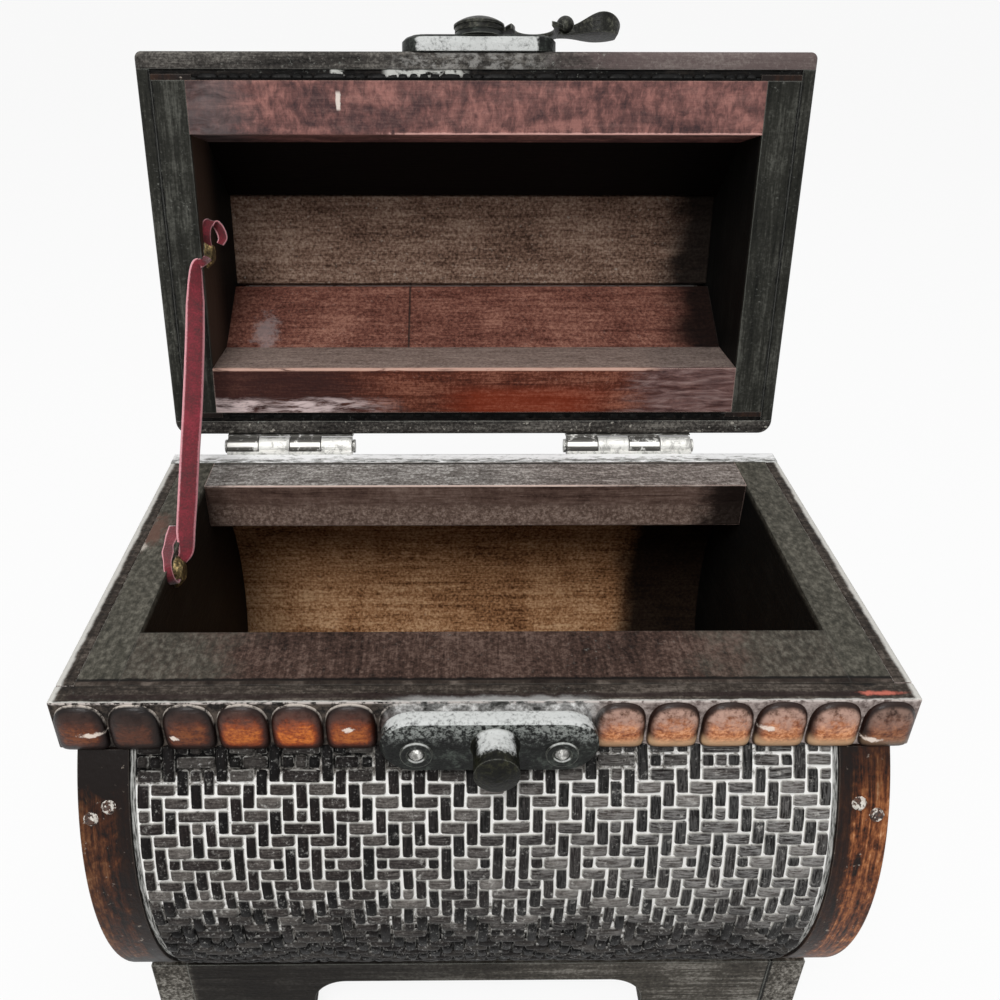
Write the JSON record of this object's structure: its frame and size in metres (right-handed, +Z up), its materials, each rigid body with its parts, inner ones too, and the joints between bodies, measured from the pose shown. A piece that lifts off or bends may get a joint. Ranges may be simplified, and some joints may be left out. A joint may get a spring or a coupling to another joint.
{
  "type": "trinket box",
  "caption": "Small wooden trinket box with a barrel-shaped woven body, beaded rim, arched hinged lid, swing clasp and ribbon stay",
  "frame": {"origin": "Middle of the ground covered by the box with its lid open, on the plane the feet stand on", "axes": "+Z up from the feet to the open lid, +X to the right along the length seen from the front, -Y to the front with the clasp"},
  "size_m": [0.123, 0.1215, 0.16],
  "materials": {
    "dark_wood": "aged and dusty, dark stain",
    "red_wood": "semi-gloss red-brown varnish with worn edges",
    "grey_wood": "dry and dusty, with an open grain",
    "amber_wood": "glossy amber varnish, dark in the grooves",
    "woven_strips": "charcoal lacquer with whitish edges",
    "band_wood": "mottled brown lacquer, dark at the edges",
    "aged_metal": "blackened, with whitish patina",
    "bright_metal": "rough and bright, worn",
    "velvet_ribbon": "velvet with paler edges"
  },
  "bodies": {
    "box_body": {"back_apron": "grey_wood", "back_core_panel": "red_wood", "back_rail": "red_wood", "back_rim_strip": "dark_wood", "back_woven_mat": "woven_strips", "band_nails": "bright_metal", "body_hinge_nails": "bright_metal", "body_stay_tack": "bright_metal", "bottom_board": "red_wood", "catch_nails": "bright_metal", "catch_plate": "aged_metal", "catch_stud": "aged_metal", "front_apron": "grey_wood", "front_beaded_strip": "amber_wood", "front_core_panel": "red_wood", "front_rail": "red_wood", "front_woven_mat": "woven_strips", "left_back_band": "band_wood", "left_base_board": "grey_wood", "left_beaded_strip": "amber_wood", "left_end_board": "dark_wood", "left_front_band": "band_wood", "left_hinge_body_leaf": "bright_metal", "left_hinge_pin": "bright_metal", "ribbon_stay": "velvet_ribbon", "right_back_band": "band_wood", "right_base_board": "grey_wood", "right_beaded_strip": "amber_wood", "right_end_board": "dark_wood", "right_front_band": "band_wood", "right_hinge_body_leaf": "bright_metal", "right_hinge_pin": "bright_metal"},
    "lid": {"latch_pivot": "aged_metal", "left_hinge_lid_leaf": "bright_metal", "lid_back_rail": "red_wood", "lid_back_stave_left": "red_wood", "lid_back_stave_right": "red_wood", "lid_back_strip": "dark_wood", "lid_band_nails": "bright_metal", "lid_clasp_nails": "bright_metal", "lid_clasp_plate": "aged_metal", "lid_front_rail": "red_wood", "lid_front_stave": "grey_wood", "lid_front_strip": "dark_wood", "lid_hinge_nails": "bright_metal", "lid_left_band": "band_wood", "lid_left_end_board": "dark_wood", "lid_left_strip": "dark_wood", "lid_right_band": "band_wood", "lid_right_end_board": "dark_wood", "lid_right_strip": "dark_wood", "lid_stay_tack": "bright_metal", "lid_top_stave": "grey_wood", "lid_woven_mat": "woven_strips", "right_hinge_lid_leaf": "bright_metal"},
    "clasp_arm": {"latch_arm": "aged_metal"}
  },
  "joints": [
    {"name": "lid_hinge", "type": "hinge", "parent": "box_body", "child": "lid", "pos_m": [0, 0.02138, 0.0826], "axis": [-1, 0, 0], "range_deg": [-100, 0], "deforming": ["ribbon_stay"]},
    {"name": "clasp_swing", "type": "hinge", "parent": "lid", "child": "clasp_arm", "pos_m": [0.0004, 0.03825, 0.15527], "axis": [0, 0.342, 0.9397], "range_deg": [-85, 90]}
  ]
}
